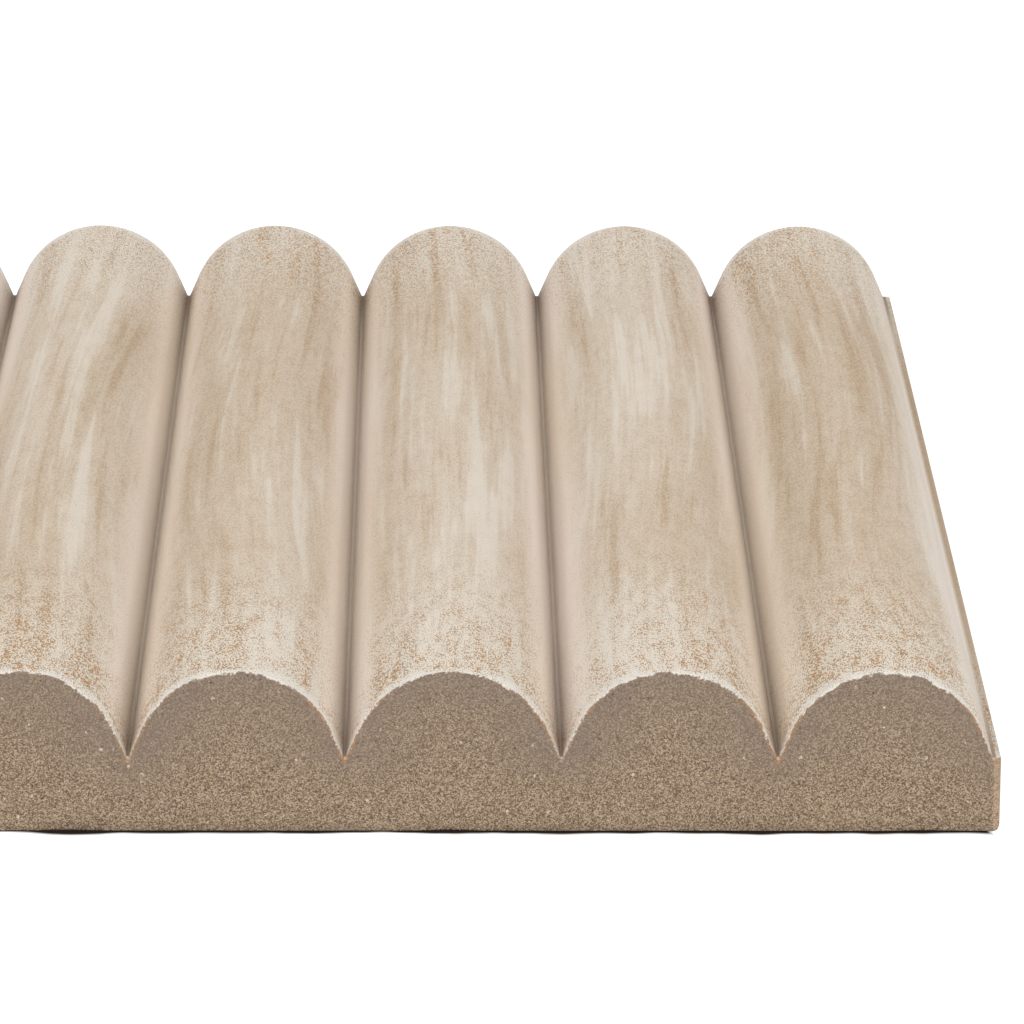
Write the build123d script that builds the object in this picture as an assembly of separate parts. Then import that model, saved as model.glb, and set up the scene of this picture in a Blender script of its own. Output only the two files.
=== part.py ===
from build123d import *
from math import cos, radians, sin, tan
import os

# Wall tile in pressed porcelain, lying on its back with round flutes on the upper side.
# Millimetres: X runs across the flutes, Y along them, Z up; origin in the middle of the bed face.

# Flutes: a round crown that runs out into straight flanks, with a narrow groove between two flutes
flute_count = 16
flute_pitch = 18.6
flute_height = 7.75
flank_draft_deg = 23.0
groove_width = 0.24
groove_root_radius = 0.12

# Tile body
tile_length = 149.0
tile_thickness = 14.5
ledge_width = 0.75

# Edges of the pressed and glazed piece
arris_chamfer = 0.2
corner_radius = 0.5
foot_radius = 0.6
foot_chamfer = 0.2

# Keyed back
key_columns = 10
key_rows = 5
key_border = 9.0
key_rib = 4.0
key_depth = 0.6
key_draft_deg = 45.0

tile_width = flute_count * flute_pitch - groove_width + 2 * ledge_width
floor_height = tile_thickness - flute_height
touch = 0.001

# The crown's radius follows from the pitch, the height and the draft: the flank leaves it at a tangent
flank_draft = radians(flank_draft_deg)
foot_half_width = (flute_pitch - groove_width) / 2
crown_radius = (foot_half_width - flute_height * tan(flank_draft)) / (
    cos(flank_draft) - tan(flank_draft) * (1 - sin(flank_draft))
)
crown_half_width = crown_radius * cos(flank_draft)
flank_height = flute_height - crown_radius * (1 - sin(flank_draft))

# One flute in section, above the groove floor
with BuildSketch() as flute:
    with BuildLine():
        Line((-foot_half_width, 0), (-crown_half_width, flank_height))
        ThreePointArc((-crown_half_width, flank_height), (0, flute_height), (crown_half_width, flank_height))
        Line((crown_half_width, flank_height), (foot_half_width, 0))
        Line((foot_half_width, 0), (-foot_half_width, 0))
    make_face()

# The tile in section: flutes side by side on a flat slab, with a narrow ledge at each side
with BuildSketch() as section:
    with Locations((0, floor_height / 2)):
        Rectangle(tile_width, floor_height)
    with Locations((0, floor_height)):
        with GridLocations(flute_pitch, flute_pitch, flute_count, 1):
            add(flute.sketch)
    roots = [
        corner
        for corner in section.vertices()
        if abs(corner.Y - floor_height) < touch and abs(corner.X) < tile_width / 2 - touch
    ]
    fillet(roots, groove_root_radius)
    fillet(section.vertices().group_by(Axis.Y)[0], foot_radius)

# One recess of the keyed back, at its mouth
recess_width = (tile_width - 2 * key_border - (key_columns - 1) * key_rib) / key_columns
recess_length = (tile_length - 2 * key_border - (key_rows - 1) * key_rib) / key_rows

with BuildPart() as tile:
    # The section runs the whole length of the tile
    with BuildSketch(Plane.XZ):
        add(section.sketch)
    extrude(amount=tile_length / 2, both=True)

    # The upright corners are rounded in plan
    with BuildSketch(Plane.XY):
        RectangleRounded(tile_width, tile_length, corner_radius)
    extrude(amount=tile_thickness, mode=Mode.INTERSECT)

    # A fine chamfer runs along the foot of both ends
    with BuildSketch(Plane.YZ) as side_view:
        with Locations((0, tile_thickness / 2)):
            Rectangle(tile_length, tile_thickness)
        chamfer(side_view.vertices().group_by(Axis.Y)[0], foot_chamfer)
    extrude(amount=tile_width / 2, both=True, mode=Mode.INTERSECT)

    # Fine arris round the glazed face: over every flute and groove at both ends, and along both ledges
    glazed_side = tile.edges().filter_by_position(Axis.Z, floor_height - touch, tile_thickness + touch)
    arris = [
        edge
        for edge in glazed_side
        if abs(edge.center().X) > tile_width / 2 - corner_radius
        or abs(edge.center().Y) > tile_length / 2 - touch
    ]
    chamfer(arris, arris_chamfer)

    # Shallow recesses with press draft, inside a plain border, key the bed of adhesive
    with BuildSketch(Plane.XY):
        with GridLocations(recess_width + key_rib, recess_length + key_rib, key_columns, key_rows):
            Rectangle(recess_width, recess_length)
    extrude(amount=key_depth, taper=key_draft_deg, mode=Mode.SUBTRACT)

os.makedirs("parts", exist_ok=True)
export_step(tile.part, "parts/fluted_tile.step")
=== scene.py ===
import bmesh
import bpy
import random
from math import cos, radians, sin, tan
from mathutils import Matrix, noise


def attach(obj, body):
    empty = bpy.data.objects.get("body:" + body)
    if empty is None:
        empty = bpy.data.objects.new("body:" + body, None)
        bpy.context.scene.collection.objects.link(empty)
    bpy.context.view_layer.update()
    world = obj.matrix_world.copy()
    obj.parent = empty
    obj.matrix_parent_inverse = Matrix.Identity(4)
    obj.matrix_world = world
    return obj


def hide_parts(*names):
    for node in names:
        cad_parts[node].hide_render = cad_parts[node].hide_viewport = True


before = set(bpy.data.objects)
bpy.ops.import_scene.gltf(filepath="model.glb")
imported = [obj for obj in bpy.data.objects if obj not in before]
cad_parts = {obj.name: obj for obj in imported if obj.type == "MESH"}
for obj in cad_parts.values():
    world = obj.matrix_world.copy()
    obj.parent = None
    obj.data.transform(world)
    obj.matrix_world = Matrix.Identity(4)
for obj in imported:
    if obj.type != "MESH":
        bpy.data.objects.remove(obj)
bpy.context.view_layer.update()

# The blank of the tile: one piece of porcelain powder pressed in a steel die, which gives it the round
# flutes, the narrow grooves between them and a small ledge at each side. The punch that shapes its back
# leaves rows of shallow recesses for the adhesive, and pressing and firing round off its outer edges.
mm = 0.001
flute_count = 16
flute_pitch = 18.6 * mm
flute_height = 7.75 * mm
flank_draft = radians(23)
groove_width = 0.24 * mm
ledge_width = 0.75 * mm
tile_thickness = 14.5 * mm
half_length = 74.5 * mm

floor_height = tile_thickness - flute_height
foot_half = (flute_pitch - groove_width) / 2
crown_radius = (foot_half - flute_height * tan(flank_draft)) / (
    cos(flank_draft) - tan(flank_draft) * (1 - sin(flank_draft))
)
crown_half = crown_radius * cos(flank_draft)
crown_centre = tile_thickness - crown_radius
crown_end = crown_centre + crown_radius * sin(flank_draft)
crown_points = 168
first_crest = -(flute_count - 1) / 2 * flute_pitch
half_width = flute_count * flute_pitch / 2 - groove_width / 2 + ledge_width
hair = 0.005 * mm
knife = 0.0001 * mm


def pick(kind, test):
    """Selects what the mesh in edit mode has at the places that pass the test."""
    bpy.ops.mesh.select_mode(type=kind)
    bpy.ops.mesh.select_all(action="DESELECT")
    shape = bmesh.from_edit_mesh(bpy.context.object.data)
    parts = {"VERT": shape.verts, "EDGE": shape.edges, "FACE": shape.faces}[kind]
    for part in parts:
        corners = [part] if kind == "VERT" else part.verts
        part.select_set(all(test(corner.co) for corner in corners))
    bmesh.update_edit_mesh(bpy.context.object.data)


def pull(x=0.0, y=0.0, z=0.0):
    """Extrudes what is selected and moves the new end."""
    bpy.ops.mesh.extrude_region_move(TRANSFORM_OT_translate={"value": (x, y, z)})


def repeat(piece, count, x=0.0, y=0.0):
    """Sets copies of a piece in a row and welds those that meet."""
    row = piece.modifiers.new("row", "ARRAY")
    row.count = count
    row.use_relative_offset = False
    row.use_constant_offset = True
    row.constant_offset_displace = (x, y, 0)
    row.use_merge_vertices = True
    row.merge_threshold = hair
    bpy.ops.object.modifier_apply(modifier=row.name)


bpy.ops.object.select_all(action="DESELECT")
bpy.ops.mesh.primitive_circle_add(
    vertices=crown_points,
    radius=crown_radius,
    location=(first_crest, -half_length, crown_centre),
    rotation=(radians(90), 0, 0),
)
tile = bpy.context.object
tile.name = "fluted_tile_fired"
bpy.ops.object.transform_apply(location=True, rotation=True, scale=True)

# One flute in section: the upper part of the circle, a flank on each side and one groove floor
bpy.ops.object.mode_set(mode="EDIT")
bpy.ops.mesh.select_all(action="SELECT")
bpy.ops.mesh.bisect(plane_co=(0, 0, crown_end), plane_no=(0, 0, 1), clear_inner=True, threshold=knife)
for side in (-1, 1):
    pick("VERT", lambda co: co.z < crown_end + hair and (co.x - first_crest) * side > 0)
    pull(x=side * (foot_half - crown_half), z=floor_height - crown_end)
pick("VERT", lambda co: co.z < floor_height + hair and co.x > first_crest)
pull(x=groove_width)
bpy.ops.object.mode_set(mode="OBJECT")
repeat(tile, flute_count, x=flute_pitch)

# Ledges, sides and bed close the section, which then runs the length of the tile
bpy.ops.object.mode_set(mode="EDIT")
pick("VERT", lambda co: co.x > half_width - ledge_width + hair)
bpy.ops.transform.translate(value=(ledge_width - groove_width, 0, 0))
pull(z=-floor_height)
pick("VERT", lambda co: co.x < -half_width + ledge_width + hair)
pull(x=-ledge_width)
pull(z=-floor_height)
pick("VERT", lambda co: co.z < hair)
bpy.ops.mesh.edge_face_add()
bpy.ops.mesh.select_all(action="SELECT")
pull(y=2 * half_length)
for end in (-1, 1):
    pick("EDGE", lambda co: co.y * end > half_length - hair)
    bpy.ops.mesh.edge_face_add()
bpy.ops.mesh.select_all(action="SELECT")
bpy.ops.mesh.normals_make_consistent(inside=False)

# The bed rises a little towards both ends, and the foot there is cut into short lengths, so that it can be
# as uneven as a pressed edge
rise_length = 3.0 * mm
foot_lengths = 600
for end in (-1, 1):
    rise_start = end * (half_length - rise_length)
    pick("FACE", lambda co: co.z < hair)
    bpy.ops.mesh.bisect(plane_co=(0, rise_start, 0), plane_no=(0, 1, 0), threshold=knife)
    pick("EDGE", lambda co: co.z < hair and co.y * end > half_length - hair)
    bpy.ops.mesh.subdivide(number_cuts=foot_lengths - 1)
bpy.ops.object.mode_set(mode="OBJECT")

# Every outer edge has its own roundness: a fine arris at the glazed face, softer corners and sides
arris_round = 0.18 * mm
corner_round = 0.5 * mm
side_foot_round = 0.6 * mm
end_foot_round = 0.08 * mm
largest_round = 1.0 * mm
softness = tile.data.attributes.new("bevel_weight_edge", "FLOAT", "EDGE")
for edge in tile.data.edges:
    a, b = (tile.data.vertices[i].co for i in edge.vertices)
    on_end = min(abs(a.y), abs(b.y)) > half_length - hair and a.y * b.y > 0
    on_side = min(abs(a.x), abs(b.x)) > half_width - hair and a.x * b.x > 0
    if (on_end or on_side) and min(a.z, b.z) > floor_height - hair:
        softness.data[edge.index].value = arris_round / largest_round
    elif on_end and on_side:
        softness.data[edge.index].value = corner_round / largest_round
    elif on_side and max(a.z, b.z) < hair:
        softness.data[edge.index].value = side_foot_round / largest_round
    elif on_end and max(a.z, b.z) < hair:
        softness.data[edge.index].value = end_foot_round / largest_round
rounding = tile.modifiers.new("rounding", "BEVEL")
rounding.limit_method = "WEIGHT"
rounding.width = largest_round
rounding.segments = 4
rounding.use_clamp_overlap = False
bpy.ops.object.modifier_apply(modifier=rounding.name)

# Recesses of the keyed back, each with sloping walls
key_columns = 10
key_rows = 5
key_border = 9.0 * mm
key_rib = 4.0 * mm
key_depth = 0.6 * mm
key_x = (2 * half_width - 2 * key_border - (key_columns - 1) * key_rib) / key_columns
key_y = (2 * half_length - 2 * key_border - (key_rows - 1) * key_rib) / key_rows
key_centre = (key_border + key_x / 2 - half_width, key_border + key_y / 2 - half_length)
bpy.ops.object.select_all(action="DESELECT")
bpy.ops.mesh.primitive_cube_add(
    size=1,
    location=(*key_centre, 0),
    scale=(key_x + 2 * key_depth, key_y + 2 * key_depth, 2 * key_depth),
)
keys = bpy.context.object
bpy.ops.object.transform_apply(location=True, rotation=True, scale=True)
bpy.ops.object.mode_set(mode="EDIT")
for side in (-1, 1):
    pick("VERT", lambda co: co.z > 0 and (co.x - key_centre[0]) * side > 0)
    bpy.ops.transform.translate(value=(-side * 2 * key_depth, 0, 0))
    pick("VERT", lambda co: co.z > 0 and (co.y - key_centre[1]) * side > 0)
    bpy.ops.transform.translate(value=(0, -side * 2 * key_depth, 0))
bpy.ops.object.mode_set(mode="OBJECT")
repeat(keys, key_columns, x=key_x + key_rib)
repeat(keys, key_rows, y=key_y + key_rib)
bpy.ops.object.select_all(action="DESELECT")
tile.select_set(True)
bpy.context.view_layer.objects.active = tile
keying = tile.modifiers.new("keying", "BOOLEAN")
keying.operation = "DIFFERENCE"
keying.solver = "EXACT"
keying.object = keys
bpy.ops.object.modifier_apply(modifier=keying.name)
bpy.data.objects.remove(keys, do_unlink=True)

# The foot of both ends stands a few hundredths of a millimetre clear, a little wavy and with small chips
random.seed(41)
foot_gap = 0.03 * mm
foot_zone = end_foot_round + hair
long_wave = 11 * mm
short_wave = 2.2 * mm
chips_per_end = 30
chips = []
for end in (-1, 1):
    for _ in range(chips_per_end):
        spot = random.uniform(-half_width, half_width)
        chips.append((end, spot, random.uniform(0.2, 0.8) * mm, random.uniform(0.06, 0.24) * mm))
for corner in tile.data.vertices:
    co = corner.co
    inset = half_length - abs(co.y)
    if co.z > foot_zone or inset > foot_zone:
        continue
    end = 1 if co.y > 0 else -1
    wave = noise.noise((co.x / long_wave, 3.7 * end, 0))
    wave += 0.4 * noise.noise((co.x / short_wave, 1.3 * end, 5))
    lift = foot_gap * max(1 + 0.9 * wave, 0.15)
    depth = 0.0
    for chip_end, spot, chip_reach, chip_depth in chips:
        if chip_end == end and abs(co.x - spot) < chip_reach:
            depth = max(depth, chip_depth * (1 - (abs(co.x - spot) / chip_reach) ** 2))
    co.z += lift + depth * (1 - inset / foot_zone)
    co.y -= end * 0.6 * depth

bpy.ops.object.shade_smooth_by_angle(angle=radians(30))
flatness = tile.modifiers.new("flatness", "WEIGHTED_NORMAL")
flatness.keep_sharp = True
bpy.ops.object.modifier_apply(modifier=flatness.name)

# The glaze is sprayed on the fluted face and printed with a pale oak grain before the firing. It is matt
# and cream white, with ochre and grey-brown ink dots that lie closer where a streak of the grain runs.
# The ink drops from above, so that it thins out on the steep flanks and leaves the front arris white.


def linear(colour):
    """Turns an sRGB hex colour to linear light."""
    shares = [int(colour[i:i + 2], 16) / 255 for i in (1, 3, 5)]
    return [s / 12.92 if s <= 0.04045 else ((s + 0.055) / 1.055) ** 2.4 for s in shares] + [1.0]


def add(tree, kind, feeds, out=0, **settings):
    """Adds one node with its settings and with what feeds its sockets, and hands back one of its outputs."""
    made = tree.nodes.new(kind)
    for name, value in settings.items():
        setattr(made, name, value)
    for socket, value in (feeds if isinstance(feeds, dict) else dict(enumerate(feeds))).items():
        if isinstance(value, bpy.types.NodeSocket):
            tree.links.new(value, made.inputs[socket])
        else:
            made.inputs[socket].default_value = value
    return made.outputs[out] if made.outputs else None


MATH, VECTOR, MIX, RANGE = "ShaderNodeMath", "ShaderNodeVectorMath", "ShaderNodeMix", "ShaderNodeMapRange"
NOISE, VORONOI, PLACE = "ShaderNodeTexNoise", "ShaderNodeTexVoronoi", "ShaderNodeTexCoord"
SPLIT, JOIN, CHANNELS = "ShaderNodeSeparateXYZ", "ShaderNodeCombineXYZ", "ShaderNodeSeparateColor"
ON_OBJECT = 3
FLOAT_A, FLOAT_B, A, B = 2, 3, 6, 7
RGBA = {"out": 2, "data_type": "RGBA"}
SMOOTH = {"interpolation_type": "SMOOTHSTEP"}
TO_MM = (1 / mm, 1 / mm, 1 / mm)

glaze = bpy.data.materials.new("matt glaze with printed oak grain")
glaze.use_nodes = True
tree = glaze.node_tree
tree.nodes.clear()

# Places on the tile in millimetres, and the distances to the nearest groove and to the nearer end
half_pitch = flute_pitch / mm / 2
place = add(tree, VECTOR, (add(tree, PLACE, (), out=ON_OBJECT), TO_MM), operation="MULTIPLY")
x = add(tree, SPLIT, (place,), out=0)
y = add(tree, SPLIT, (place,), out=1)
to_groove = add(tree, MATH, (x, half_pitch), operation="PINGPONG")
along = add(tree, MATH, (y,), operation="ABSOLUTE")
to_end = add(tree, MATH, (half_length / mm, along), operation="SUBTRACT")

# The grain leans a few millimetres to either side on its way along the tile
lean_wide, lean_long, lean_reach = 45, 90, 8.0
lean = add(tree, VECTOR, (place, (1 / lean_wide, 1 / lean_long, 0)), operation="MULTIPLY")
lean = add(tree, NOISE, {"Vector": lean, "Scale": 1.0, "Detail": 0.0})
lean = add(tree, MATH, (lean, 0.5), operation="SUBTRACT")
lean = add(tree, MATH, (lean, lean_reach), operation="MULTIPLY")
grain = add(tree, VECTOR, (place, add(tree, JOIN, (lean, 0, 0))), operation="ADD")

# Some flutes are paler than others: a slow drift of the tone over areas of 28 x 130 mm
drift_wide, drift_long, drift_layer, drift_middle = 28, 130, 302.66, 0.49
drift = add(tree, VECTOR, (place, (1 / drift_wide, 1 / drift_long, 0), (0, 0, drift_layer)),
            operation="MULTIPLY_ADD")
drift = add(tree, NOISE, {"Vector": drift, "Scale": 1.0, "Detail": 0.0})
drift = add(tree, MATH, (drift_middle, drift), operation="SUBTRACT")

# Bands 6 x 90 mm, soft streaks 1.8 x 50 mm and fine lines 0.5 x 16 mm make up the grain, and the ink lies in
# clumps of 1.1 x 4 mm
marks = []
for wide, long, layer in ((6, 90, 0), (1.8, 50, 7), (0.5, 16, 13), (1.1, 4, 21)):
    mark = add(tree, VECTOR, (grain, (1 / wide, 1 / long, 0), (0, 0, layer)), operation="MULTIPLY_ADD")
    marks.append(add(tree, NOISE, {"Vector": mark, "Scale": 1.0, "Detail": 1.0}))
band, streak, line, clump = marks
band = add(tree, MATH, (drift, 1.1, band), operation="MULTIPLY_ADD")
band = add(tree, RANGE, (band, 0.3, 0.7, 0.0, 1.0), **SMOOTH)
streak = add(tree, MATH, (streak, 0.7), operation="MULTIPLY")
streak = add(tree, MATH, (line, 0.3, streak), operation="MULTIPLY_ADD")
streak = add(tree, MATH, (drift, 0.2, streak), operation="MULTIPLY_ADD")
whitish = add(tree, RANGE, (streak, 0.5, 0.34, 0.0, 1.0), **SMOOTH)
tan_streak = add(tree, RANGE, (streak, 0.52, 0.68, 0.0, 1.0), **SMOOTH)

# Less ink on the flanks and little along a ragged strip at each end, which is wider on the shoulders. The
# ledges lie flat under the print and take as much ink as the crowns
on_crown = add(tree, RANGE, (to_groove, 0.6, 3.6, 0.0, 1.0), **SMOOTH)
across = add(tree, MATH, (x,), operation="ABSOLUTE")
ledge_start, ledge_full = (half_width - ledge_width) / mm, half_width / mm - 0.5
on_ledge = add(tree, RANGE, (across, ledge_start, ledge_full, 0.0, 1.0))
flank_ink = add(tree, RANGE, (to_end, 0.0, 10.0, 0.9, 0.35))
face_ink = add(tree, RANGE, (on_crown, 0.0, 1.0, flank_ink, 1.0))
face_ink = add(tree, MATH, (face_ink, on_ledge), operation="MAXIMUM")
ragged = add(tree, NOISE, {"Vector": place, "Scale": 2.6, "Detail": 3.0})
strip = add(tree, RANGE, (to_groove, 8.6, 5.5, -1.0, -3.4))
from_end = add(tree, MATH, (ragged, strip, to_end), operation="MULTIPLY_ADD")
printed = add(tree, RANGE, (from_end, -0.7, 0.6, 0.0, 1.0), **SMOOTH)
inked = add(tree, RANGE, (printed, 0.0, 1.0, 0.55, 1.0))
inked = add(tree, MATH, (inked, face_ink), operation="MULTIPLY")

# Tan streaks and yellowish bands take more ink and whitish streaks less, and the clumps are strongest
# towards the front end
clump = add(tree, MATH, (clump, 0.5), operation="SUBTRACT")
clumping = add(tree, RANGE, (y, -70.0, -40.0, 1.5, 0.4))
ink_load = add(tree, MATH, (whitish, -0.22, 0.58), operation="MULTIPLY_ADD")
for mark, weight in ((tan_streak, 0.22), (band, 0.16), (clump, clumping)):
    ink_load = add(tree, MATH, (mark, weight, ink_load), operation="MULTIPLY_ADD")
ink_load = add(tree, MATH, (ink_load, inked), operation="MULTIPLY")

# Ink dots about 0.1 mm across in cells of 0.14 mm, drawn more than twice as long along the tile so that they
# still read as dots at the low angle at which a fluted face is looked at. Ochre ones gather in the clumps
dot_wide, dot_long = 0.14, 0.34
dot_cells = add(tree, VECTOR, (place, (1 / dot_wide, 1 / dot_long, 0)), operation="MULTIPLY")
dot_distance = add(tree, VORONOI, {"Vector": dot_cells, "Scale": 1.0}, voronoi_dimensions="2D")
dot_chance = add(tree, CHANNELS, (dot_distance.node.outputs["Color"],))
dot_hue = dot_chance.node.outputs[1]
dot_size = add(tree, RANGE, (dot_chance, 0.0, 1.0, 0.1, 0.75))
dot_size = add(tree, MATH, (ink_load, dot_size), operation="MULTIPLY")
blot = add(tree, NOISE, {"Vector": dot_cells, "Scale": 1.2, "Detail": 1.0})
blot = add(tree, MATH, (blot, 0.5), operation="SUBTRACT")
dots = add(tree, MATH, (dot_size, dot_distance), operation="SUBTRACT")
dots = add(tree, MATH, (blot, 0.4, dots), operation="MULTIPLY_ADD")
dots = add(tree, RANGE, (dots, -0.18, 0.14, 0.0, 1.0), **SMOOTH)
ochre = add(tree, MATH, (clump, 1.2, dot_hue), operation="MULTIPLY_ADD")
ochre = add(tree, RANGE, (ochre, 0.25, 0.5, 0.0, 1.0))
ink = add(tree, MIX, {0: ochre, A: linear("#8E7F6B"), B: linear("#B28350")}, **RGBA)

# Glaze under the ink: pinkish and yellowish bands with whitish and tan streaks on the crowns, lighter near
# the ends, a plain cream down the flanks, paler than the crowns partly as painted light that makes up for
# the weaker light on the flanks, and tan along the ledges
merged = add(tree, RANGE, (to_end, 2.0, 40.0, 0.0, 1.0), **SMOOTH)
ground = add(tree, MIX, {0: band, A: linear("#E3D5C3"), B: linear("#DBCBB4")}, **RGBA)
whitening = add(tree, MATH, (whitish, 0.45), operation="MULTIPLY")
tanning = add(tree, MATH, (tan_streak, 0.4), operation="MULTIPLY")
near_end = add(tree, RANGE, (merged, 0.0, 1.0, 0.6, 0.0))
for share, colour in ((whitening, "#ECE6DB"), (tanning, "#CDB490"), (near_end, "#EBE2D4")):
    ground = add(tree, MIX, {0: share, A: ground, B: linear(colour)}, **RGBA)
# Painted light: the flanks get a paler cream than the crowns so that they render as bright despite less
# light
flank_cream_and_painted_light = add(tree, MIX, {0: band, A: linear("#EBE0D6"), B: linear("#E9DDCD")}, **RGBA)
ground = add(tree, MIX, {0: on_crown, A: flank_cream_and_painted_light, B: ground}, **RGBA)
ledge_colour = add(tree, MIX, {0: merged, A: linear("#E4DACB"), B: linear("#CDB99F")}, **RGBA)
ground = add(tree, MIX, {0: on_ledge, A: ground, B: ledge_colour}, **RGBA)
ground = add(tree, MIX, {0: printed, A: linear("#ECE6DC"), B: ground}, **RGBA)

# The grooves are darker: near the ends the glaze is so thin in them that the body shows through, and this is
# partly painted shade too; all along, a painted shade darkens them and a soft band up the flanks. Further
# in, painted light makes their core whiter
thin_glaze_and_shade_strength = add(tree, RANGE, (to_end, 0.0, 20.0, 0.95, 0.0))
thin_glaze_and_painted_shade = add(tree, RANGE, (to_groove, 0.1, 0.25, thin_glaze_and_shade_strength, 0.0), **SMOOTH)
painted_groove_shade = add(tree, RANGE, (on_ledge, 0.0, 1.0, 0.32, 0.1))
painted_groove_shade = add(tree, RANGE, (to_groove, 0.2, 1.7, painted_groove_shade, 0.0))
thin_glaze_and_painted_shade = add(tree, MATH, (thin_glaze_and_painted_shade, painted_groove_shade), operation="MAXIMUM")
# Painted light: the core of each groove is whitened further in, which lifts its shade
painted_groove_light = add(tree, RANGE, (on_ledge, 0.0, 1.0, 0.65, 0.0))
painted_groove_light = add(tree, RANGE, (to_groove, 0.3, 1.0, painted_groove_light, 0.0))
painted_groove_light = add(tree, MATH, (painted_groove_light, merged), operation="MULTIPLY")
# Painted shade darkens the grooves and painted light whitens their core further in
for share, colour in ((thin_glaze_and_painted_shade, "#98836E"), (painted_groove_light, "#F5EBDD")):
    ground = add(tree, MIX, {0: share, A: ground, B: linear(colour)}, **RGBA)

# The dots stand out near the ends and run together into a nearly even tint further in
dotted = add(tree, MIX, {0: dots, A: ground, B: ink}, **RGBA)
tint = add(tree, MATH, (ink_load, ink_load), operation="MULTIPLY")
tint = add(tree, MATH, (tint, 0.74), operation="MULTIPLY")
tinted = add(tree, MIX, {0: tint, A: ground, B: linear("#A68B6E")}, **RGBA)
blurred = add(tree, MATH, (merged, 0.65), operation="MULTIPLY")
glaze_colour = add(tree, MIX, {0: blurred, A: dotted, B: tinted}, **RGBA)

# Fired glaze has a faint orange-peel, and the ink lies on it as a hardly raised dot
peel = add(tree, NOISE, {"Vector": place, "Scale": 1.4, "Detail": 2.0})
relief = add(tree, MATH, (dots, 0.25, peel), operation="MULTIPLY_ADD")
bump = add(tree, "ShaderNodeBump", {"Strength": 0.25, "Distance": 0.05 * mm, "Height": relief})
glaze_gloss = add(tree, RANGE, (peel, 0.3, 0.7, 0.62, 0.74))
surface = add(tree, "ShaderNodeBsdfPrincipled",
              {"Base Color": glaze_colour, "Roughness": glaze_gloss, "IOR": 1.5, "Normal": bump})
add(tree, "ShaderNodeOutputMaterial", (surface,))

# The body under the glaze is dense grey-brown porcelain stoneware. It shows bare at the ends, the sides and
# the back: pressed granules of several colours, with a finer and greyer skin along the flutes and a coarse,
# yellowish core.
body = bpy.data.materials.new("pressed porcelain stoneware body")
body.use_nodes = True
tree = body.node_tree
tree.nodes.clear()
place = add(tree, VECTOR, (add(tree, PLACE, (), out=ON_OBJECT), TO_MM), operation="MULTIPLY")
x = add(tree, SPLIT, (place,), out=0)
z = add(tree, SPLIT, (place,), out=2)

# How deep a place lies under the fluted face: under the crown along its radius, under a flank square to it
to_groove = add(tree, MATH, (x, half_pitch), operation="PINGPONG")
to_crest = add(tree, MATH, (half_pitch, to_groove), operation="SUBTRACT")
above_centre = add(tree, MATH, (z, crown_centre / mm), operation="SUBTRACT")
from_centre = add(tree, JOIN, (to_crest, above_centre, 0))
from_centre = add(tree, VECTOR, (from_centre,), out=1, operation="LENGTH")
crown_depth = add(tree, MATH, (crown_radius / mm, from_centre), operation="SUBTRACT")
flank_depth = add(tree, MATH, (foot_half / mm, to_crest), operation="SUBTRACT")
flank_depth = add(tree, MATH, (flank_depth, cos(flank_draft)), operation="MULTIPLY")
below_floor = add(tree, MATH, (floor_height / mm, z), operation="SUBTRACT")
flank_depth = add(tree, MATH, (below_floor, sin(flank_draft), flank_depth), operation="MULTIPLY_ADD")
crown_line = add(tree, MATH, (to_crest, tan(flank_draft)), operation="MULTIPLY")
under_crown = add(tree, MATH, (above_centre, crown_line), operation="GREATER_THAN")
depth = add(tree, MIX, {0: under_crown, FLOAT_A: flank_depth, FLOAT_B: crown_depth}, data_type="FLOAT")

# Core and skin run into each other in clouds a few millimetres wide, and the bed has a skin too
cloud = add(tree, NOISE, {"Vector": place, "Scale": 0.3, "Detail": 3.0})
core = add(tree, MATH, (cloud, 6.0, depth), operation="MULTIPLY_ADD")
core = add(tree, MATH, (core, add(tree, RANGE, (z, 2.5, 7.0, 6.0, 0.0))), operation="ADD")
core = add(tree, MATH, (core, add(tree, RANGE, (z, 0.0, 1.5, 4.0, 0.0))), operation="SUBTRACT")
core = add(tree, RANGE, (core, 3.0, 11.0, 0.0, 1.0))

# Granules of 0.1 mm, each of its own tone, and dust between them
grit_size = 0.1
grit = add(tree, VORONOI, {"Vector": place, "Scale": 1 / grit_size}, out=1)
grit_tone = add(tree, CHANNELS, (grit,))
grit_hue = grit_tone.node.outputs[1]
dust = add(tree, NOISE, {"Vector": place, "Scale": 7.0, "Detail": 2.0})
uneven = add(tree, MATH, (dust, 0.5), operation="SUBTRACT")
contrast = add(tree, RANGE, (core, 0.0, 1.0, 0.35, 0.95))
tone = add(tree, MATH, (grit_tone, 0.5), operation="SUBTRACT")
tone = add(tree, MATH, (tone, contrast), operation="MULTIPLY")
tone = add(tree, MATH, (uneven, 0.35, tone), operation="MULTIPLY_ADD")
light = add(tree, RANGE, (tone, 0.0, 0.5, 0.0, 1.0))
dark = add(tree, RANGE, (tone, 0.0, -0.5, 0.0, 1.0))
skin_colour = add(tree, MIX, {0: cloud, A: linear("#7F6E60"), B: linear("#867463")}, **RGBA)
core_colour = add(tree, MIX, {0: grit_hue, A: linear("#917A5B"), B: linear("#8D745D")}, **RGBA)
body_colour = add(tree, MIX, {0: core, A: skin_colour, B: core_colour}, **RGBA)

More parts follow.
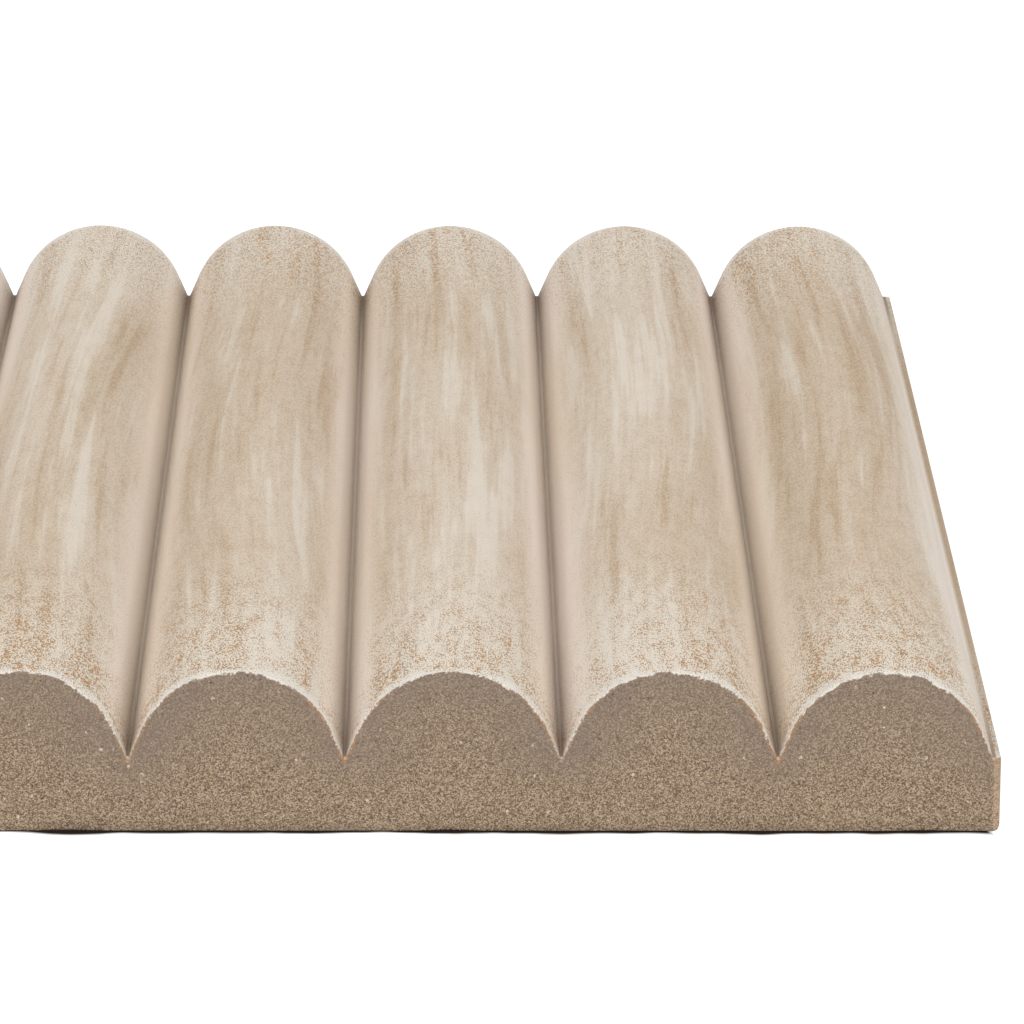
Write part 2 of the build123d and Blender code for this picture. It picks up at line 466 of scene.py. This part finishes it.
# Dark iron specks and open pits up to 0.25 mm across, denser in the core, and a few white grains of quartz
pit_spacing = 0.52
fleck_spacing, fleck_shift = 1.2, (31, 17, 11)
pit_distance = add(tree, VORONOI, {"Vector": place, "Scale": 1 / pit_spacing})
pit_chance = add(tree, CHANNELS, (pit_distance.node.outputs["Color"],))
pit_share = add(tree, RANGE, (core, 0.0, 1.0, 0.6, 0.25))
pit_size = add(tree, RANGE, (pit_chance, pit_share, 1.0, 0.0, 0.2))
pits = add(tree, MATH, (pit_size, pit_distance), operation="SUBTRACT")
pits = add(tree, MATH, (uneven, 0.6, pits), operation="MULTIPLY_ADD")
pits = add(tree, RANGE, (pits, -0.06, 0.1, 0.0, 0.75))
fleck_place = add(tree, VECTOR, (place, fleck_shift), operation="ADD")
fleck_distance = add(tree, VORONOI, {"Vector": fleck_place, "Scale": 1 / fleck_spacing})
fleck_chance = add(tree, CHANNELS, (fleck_distance.node.outputs["Color"],))
fleck_size = add(tree, RANGE, (fleck_chance, 0.35, 1.0, 0.0, 0.13))
flecks = add(tree, MATH, (fleck_size, fleck_distance), operation="SUBTRACT")
flecks = add(tree, MATH, (uneven, 0.35, flecks), operation="MULTIPLY_ADD")
flecks = add(tree, RANGE, (flecks, -0.02, 0.06, 0.0, 0.8))

# Glaze that ran over the arris leaves a ragged white rim with specks under it, thinner towards the grooves,
# and a burnt ochre line where it stops on the flanks
patch = add(tree, NOISE, {"Vector": place, "Scale": 0.6, "Detail": 1.0})
overhang = add(tree, RANGE, (patch, 0.36, 0.66, -0.04, 0.22))
on_shoulder = add(tree, RANGE, (to_groove, 0.5, 5.0, 0.4, 1.0))
overhang = add(tree, MATH, (overhang, on_shoulder), operation="MULTIPLY")
rag = add(tree, NOISE, {"Vector": place, "Scale": 4.0, "Detail": 3.0})
rag = add(tree, MATH, (rag, 0.5), operation="SUBTRACT")
overhang = add(tree, MATH, (rag, 0.8, overhang), operation="MULTIPLY_ADD")
rim = add(tree, MATH, (depth, overhang), operation="SUBTRACT")
burnt = add(tree, RANGE, (rim, 0.04, 0.36, 1.0, 0.0), **SMOOTH)
steep = add(tree, RANGE, (to_groove, 5.0, 2.0, 0.0, 1.0), **SMOOTH)
burnt = add(tree, MATH, (burnt, steep), operation="MULTIPLY")
burnt = add(tree, MATH, (burnt, add(tree, RANGE, (patch, 0.4, 0.62, 0.7, 0.1))), operation="MULTIPLY")
overrun = add(tree, RANGE, (rim, -0.07, 0.07, 1.0, 0.0))
out_of_groove = add(tree, RANGE, (to_groove, 0.1, 1.0, 0.35, 0.9))
overrun = add(tree, MATH, (overrun, out_of_groove), operation="MULTIPLY")
for share, colour in ((light, "#BDAA94"), (dark, "#524337"), (pits, "#3A2E25"), (flecks, "#DDD2C0"),
                      (burnt, "#AF8052"), (overrun, "#E6DED2")):
    body_colour = add(tree, MIX, {0: share, A: body_colour, B: linear(colour)}, **RGBA)

# The sides are dressed with a thin tan engobe, patchy at its edge
engobe_start = half_width / mm - 0.6
side_skin = add(tree, MATH, (x,), operation="ABSOLUTE")
side_skin = add(tree, MATH, (side_skin, engobe_start), operation="SUBTRACT")
side_skin = add(tree, MATH, (uneven, 0.6, side_skin), operation="MULTIPLY_ADD")
side_skin = add(tree, RANGE, (side_skin, -0.1, 0.1, 0.0, 1.0))
engobe_tone = add(tree, RANGE, (tone, -0.3, 0.3, 0.0, 1.0))
engobe = add(tree, MIX, {0: engobe_tone, A: linear("#8C745E"), B: linear("#C2A98C")}, **RGBA)
body_colour = add(tree, MIX, {0: side_skin, A: body_colour, B: engobe}, **RGBA)

# Granules stand out a little from the rough fired face, and the pits are open
relief = add(tree, MATH, (grit_tone, 0.4, dust), operation="MULTIPLY_ADD")
relief = add(tree, MATH, (pits, -1.6, relief), operation="MULTIPLY_ADD")
bump = add(tree, "ShaderNodeBump", {"Strength": 0.4, "Distance": 0.08 * mm, "Height": relief})
surface = add(tree, "ShaderNodeBsdfPrincipled",
              {"Base Color": body_colour, "Roughness": 0.82, "IOR": 1.5, "Normal": bump})
add(tree, "ShaderNodeOutputMaterial", (surface,))

# The fluted face carries the glaze, the rest of the tile is bare but for the rim that ran over
glaze_foot = floor_height - 0.3 * mm
end_tilt = 0.3
tile.data.materials.clear()
tile.data.materials.append(glaze)
tile.data.materials.append(body)
for face in tile.data.polygons:
    glazed = face.center.z > glaze_foot and abs(face.normal.y) < end_tilt
    face.material_index = 0 if glazed else 1
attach(tile, "root")
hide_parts("fluted_tile")

# The stage: a white table with a short shadow painted at the tile's foot, two long soft lamps at the sides,
# which reach down the flanks and leave the grooves dark, and a low soft lamp for the bare front end.
table_size = 6
bpy.ops.object.select_all(action="DESELECT")
bpy.ops.mesh.primitive_plane_add(size=table_size, location=(0, 0, 0))
table = bpy.context.object
table.name = "table"
sheet = bpy.data.materials.new("white paper sheet with painted shadow")
sheet.use_nodes = True
tree = sheet.node_tree
tree.nodes.clear()

# Painted shadow: the sheet is painted dark, and does not glow, in the narrow gap under the tile and, in
# places, a little way out from its foot
side_inset = 1.3
paper_glow = 0.65
place = add(tree, VECTOR, (add(tree, PLACE, (), out=ON_OBJECT), TO_MM), operation="MULTIPLY")
across = add(tree, MATH, (add(tree, SPLIT, (place,), out=0),), operation="ABSOLUTE")
along = add(tree, MATH, (add(tree, SPLIT, (place,), out=1),), operation="ABSOLUTE")
painted_shadow_sway = add(tree, NOISE, {"Vector": place, "Scale": 0.12, "Detail": 2.0})
painted_shadow_sway = add(tree, RANGE, (painted_shadow_sway, 0.3, 0.7, -0.1, 0.75))
beside = add(tree, MATH, (across, half_width / mm - side_inset), operation="SUBTRACT")
before = add(tree, MATH, (along, half_length / mm), operation="SUBTRACT")
clear = add(tree, MATH, (beside, before), operation="MAXIMUM")
clear = add(tree, MATH, (clear, painted_shadow_sway), operation="SUBTRACT")
clear = add(tree, RANGE, (clear, 0.0, 0.6, 0.0, 1.0))
# Painted shadow: the paper's colour goes near black inside the mask
paper_and_painted_shadow = add(tree, MIX, {0: clear, A: linear("#2A2420"), B: linear("#E6E6E6")}, **RGBA)
paper = add(tree, "ShaderNodeBsdfDiffuse", {"Color": paper_and_painted_shadow})
path = add(tree, "ShaderNodeLightPath", ()).node.outputs
seen = add(tree, MATH, (path["Is Camera Ray"], path["Is Glossy Ray"]), operation="MAXIMUM")
seen = add(tree, MATH, (seen, path["Is Transmission Ray"]), operation="MAXIMUM")
glow = add(tree, MATH, (clear, paper_glow), operation="MULTIPLY")
glow = add(tree, MATH, (glow, seen), operation="MULTIPLY")
glow = add(tree, "ShaderNodeEmission", {"Color": (1, 1, 1, 1), "Strength": glow})
add(tree, "ShaderNodeOutputMaterial", (add(tree, "ShaderNodeAddShader", (paper, glow)),))
table.data.materials.append(sheet)

studio = bpy.data.worlds.new("white studio")
bpy.context.scene.world = studio
studio.use_nodes = True
tree = studio.node_tree
tree.nodes.clear()
room_level = 0.32
path = add(tree, "ShaderNodeLightPath", ()).node.outputs
seen = add(tree, MATH, (path["Is Camera Ray"], path["Is Glossy Ray"]), operation="MAXIMUM")
seen = add(tree, MATH, (seen, path["Is Transmission Ray"]), operation="MAXIMUM")
level = add(tree, RANGE, (seen, 0.0, 1.0, room_level, 1.0))
room = add(tree, "ShaderNodeBackground", {"Color": (1, 1, 1, 1), "Strength": level})
add(tree, "ShaderNodeOutputWorld", (room,))

# Lamps by place, turn, size and watts
side_size, side_turn, side_watts = (0.9, 1.6), radians(44), 22.2
front_size, front_turn, front_watts = (1.2, 0.75), radians(71), 7.1
for name, spot, turn, size, watts in (
    ("left lamp", (-1.29, -1.0, 1.44), (0, -side_turn, 0), side_size, side_watts),
    ("right lamp", (1.49, -1.0, 1.44), (0, side_turn, 0), side_size, side_watts),
    ("front lamp", (0.1, -1.5, 0.54), (front_turn, 0, 0), front_size, front_watts),
):
    bpy.ops.object.light_add(type="AREA", location=spot, rotation=turn)
    lamp = bpy.context.object
    lamp.name = name
    lamp.data.shape = "RECTANGLE"
    lamp.data.size, lamp.data.size_y = size
    lamp.data.energy = watts

# The camera stands low in front of the right half of the tile, with a long lens
bpy.ops.object.camera_add(
    location=(100.69 * mm, -617.19 * mm, 197.51 * mm),
    rotation=(radians(72.7317), radians(-0.2645), radians(-0.6118)),
)
camera = bpy.context.object
camera.data.sensor_width = 36
camera.data.lens = 235.52
bpy.context.scene.camera = camera
bpy.context.scene.view_settings.view_transform = "Standard"
